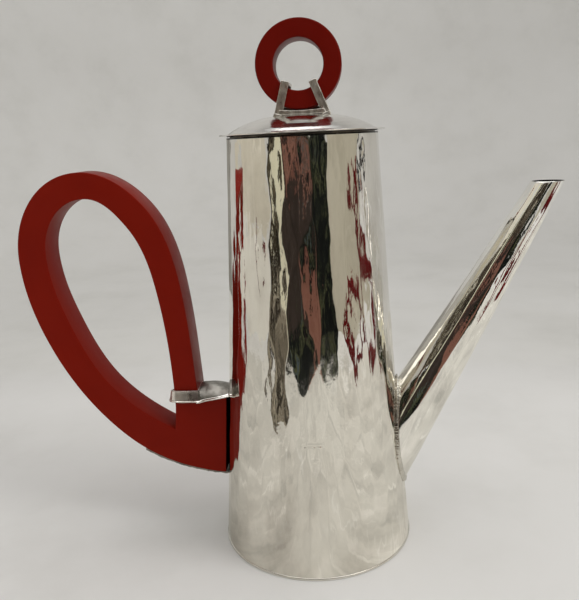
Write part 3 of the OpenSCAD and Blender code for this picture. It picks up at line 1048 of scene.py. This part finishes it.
def smudge_and_shade_floor():
    """A ring of smudged paper on the floor, darker than the floor as painted shade, seen only in
    reflections.
    """
    only_reflected(round_stage("smudge_and_shade_floor", [(r, 0.0004) for r in (0.0455, 0.1, 0.2, 0.45)],
                               smudge_and_shade_paper()))


def card(name, azimuths, distance, heights, material, ragged=0.0):
    """A curved upright card seen only in reflections; azimuth 0 is towards -Y, 90 towards +X.

    The edge at the second height wanders up and down by ragged.
    """
    a = np.radians(np.linspace(*azimuths, 40))
    wander = ragged * (0.6 * np.sin(31 * a) + 0.4 * np.sin(73 * a + 1))
    points = [[distance * sin(t), -distance * cos(t), z]
              for z, t in zip(np.repeat(heights, len(a)), np.tile(a, 2))]
    for point, rise in zip(points[len(a):], wander):
        point[2] += rise
    only_reflected(stage_mesh(name, points, quads(2, len(a), closed=False), material))


def area_light(name, place, target, size, energy, colour):
    data = bpy.data.lights.new(name, "AREA")
    data.shape = "RECTANGLE"
    data.size, data.size_y = size
    data.energy = energy
    data.color = colour
    obj = add_object(name, data)
    obj.location = place
    obj.rotation_euler = (Vector(target) - Vector(place)).to_track_quat("-Z", "Y").to_euler()
    obj.visible_camera = False


HOOP_WIRE = 0.0065          # radius of a hoop's wire


def hoop(name, azimuth, distance, low, high, wide, material):
    """A thin upright loop seen only in reflections."""
    turn = np.linspace(0, 2 * pi, 48, endpoint=False)
    a = radians(azimuth)
    data = bpy.data.curves.new(name, "CURVE")
    data.dimensions = "3D"
    data.bevel_depth = HOOP_WIRE
    spline = data.splines.new("POLY")
    spline.points.add(len(turn) - 1)
    spline.use_cyclic_u = True
    for point, t in zip(spline.points, turn):
        side = cos(t) * wide / 2
        z = (low + high) / 2 + sin(t) * (high - low) / 2
        point.co = (distance * sin(a) + side * cos(a), -distance * cos(a) + side * sin(a), z, 1)
    data.materials.append(material)
    obj = add_object(name, data)
    only_reflected(obj)


def studio():
    """Paper, lights, and the cards and hoops that the silver mirrors in place of a room."""
    tent()
    smudge_and_shade_floor()
    brown = stripes("brown_card", [
        (0.30, (0.022, 0.018, 0.015)), (0.45, (0.044, 0.033, 0.028)), (0.60, (0.066, 0.050, 0.042)),
        (0.72, (0.036, 0.027, 0.024))], 22, 0.12)
    rosy = stripes("rosy_card", [
        (0.42, (0.036, 0.027, 0.023)), (0.47, (0.22, 0.095, 0.070)), (0.54, (0.30, 0.150, 0.112)),
        (0.57, (0.050, 0.038, 0.033)), (0.64, (0.25, 0.235, 0.22))], 26, 0.12)
    clay = stripes("clay_card", [
        (0.30, (0.060, 0.036, 0.030)), (0.38, (0.24, 0.105, 0.078)), (0.60, (0.36, 0.185, 0.135)),
        (0.68, (0.20, 0.085, 0.060))], 20, 0.2)
    black = stripes("black_card", [
        (0.40, (0.006, 0.007, 0.007)), (0.54, (0.014, 0.016, 0.014)), (0.58, (0.07, 0.08, 0.04)),
        (0.61, (0.15, 0.15, 0.07)), (0.63, (0.012, 0.016, 0.020)), (0.69, (0.10, 0.14, 0.16))], 52, 0.3)
    mixed = stripes("mixed_card", [
        (0.38, (0.016, 0.014, 0.012)), (0.46, (0.10, 0.085, 0.065)), (0.54, (0.27, 0.235, 0.18)),
        (0.64, (0.50, 0.46, 0.37))], 60, 0.3)
    streaky = stripes("streaky_card", [
        (0.40, (0.014, 0.012, 0.010)), (0.50, (0.050, 0.040, 0.030)), (0.55, (0.11, 0.085, 0.06)),
        (0.60, (0.30, 0.27, 0.20)), (0.66, (0.85, 0.82, 0.72))], 30, 0.2)
    olive = stripes("olive_card", [
        (0.38, (0.012, 0.011, 0.009)), (0.52, (0.045, 0.038, 0.026)), (0.60, (0.12, 0.10, 0.065)),
        (0.68, (0.30, 0.27, 0.20))], 60, 0.3)
    dark = stripes("dark_strip", [(0.4, (0.012, 0.012, 0.011)), (0.6, (0.030, 0.028, 0.026))])
    cream = stripes("cream_card", [(0.35, (0.74, 0.70, 0.60)), (0.65, (0.84, 0.80, 0.71))])
    pale = stripes("pale_card", [(0.35, (0.86, 0.84, 0.78)), (0.65, (0.93, 0.91, 0.86))])
    yellow = stripes("yellow_card", [(0.35, (0.78, 0.75, 0.56)), (0.65, (0.88, 0.86, 0.70))])
    beige = stripes("beige_card", [(0.35, (0.56, 0.525, 0.43)), (0.65, (0.66, 0.62, 0.52))])
    grey = stripes("grey_card", [(0.35, (0.30, 0.29, 0.27)), (0.65, (0.44, 0.43, 0.40))])
    red = stripes("red_card", [(0.4, (0.12, 0.009, 0.011)), (0.6, (0.15, 0.012, 0.013))])
    card("grey_card", (-165, -134), 0.62, (0.0, 0.30), grey)
    card("cream_card", (-105, -52), 0.62, (0.13, 0.8), cream)
    card("pale_card", (-105, -52), 0.61, (0.0, 0.13), pale, 0.02)
    card("side_card", (-42.5, -35), 0.28, (0.075, 0.26), olive)
    card("side_card_low", (-49, -31), 0.27, (0.0, 0.115), mixed, 0.03)
    card("high_card", (-78, -24), 0.60, (0.268, 0.55), streaky)
    card("yellow_card", (-40, -27), 0.50, (0.0, 0.8), yellow)
    card("brown_card", (-28, 6), 0.43, (0.0, 0.245), brown)
    card("black_card_low", (-21, 8), 0.42, (0.0, 0.055), black, 0.025)
    card("rosy_card_high", (-24, 4), 0.425, (0.25, 0.180), rosy, 0.022)
    card("clay_card", (1, 21), 0.415, (0.0, 0.100), clay, 0.03)
    card("high_card_middle", (-24, 14), 0.435, (0.252, 0.40), streaky)
    card("black_card", (4, 36), 0.43, (0.0, 0.245), black)
    card("beige_card", (36, 91), 0.60, (0.0, 0.8), beige)
    card("dark_strip", (91.5, 94), 0.50, (0.16, 0.5), dark)
    hoop("red_hoop_high", 78, 0.20, 0.120, 0.183, 0.052, red)
    hoop("red_hoop_left", 62, 0.20, 0.048, 0.108, 0.050, red)
    hoop("red_hoop_right", 84, 0.20, 0.050, 0.116, 0.058, red)
    hoop("red_hoop_side", -64, 0.40, 0.075, 0.150, 0.030, red)
    area_light("top_light", (0, 0, 1.35), (0, 0, 0), (1.3, 1.3), 6.1, (1, 0.985, 0.96))
    area_light("right_light", (0.7, -0.3, 0.8), (0.15, 0, 0), (0.45, 0.6), 3.2, (1, 0.98, 0.95))
    world = bpy.data.worlds.new("studio")
    world.use_nodes = True
    sky = world.node_tree.nodes["Background"].inputs
    sky["Color"].default_value = (1, 0.99, 0.97, 1)
    sky["Strength"].default_value = 0.5
    bpy.context.scene.world = world
    bpy.context.scene.view_settings.view_transform = "Standard"


def kept_nodes():
    """The CAD nodes that are shown as they are get a metal."""
    # the bezel's dark silver is partly painted shade in the gap under the flange
    for node, material in (("lid_bezel", TARNISH_AND_SHADE), ("shoulder_pin", WORN), ("strip_pins", PLAIN)):
        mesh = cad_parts[node].data
        mesh.materials.clear()
        mesh.materials.append(material)


make_camera()
body_wall()
base_plate()
spout_tube()
solder_seam()
handle_parts()
lid()
knob_parts()
kept_nodes()
studio()
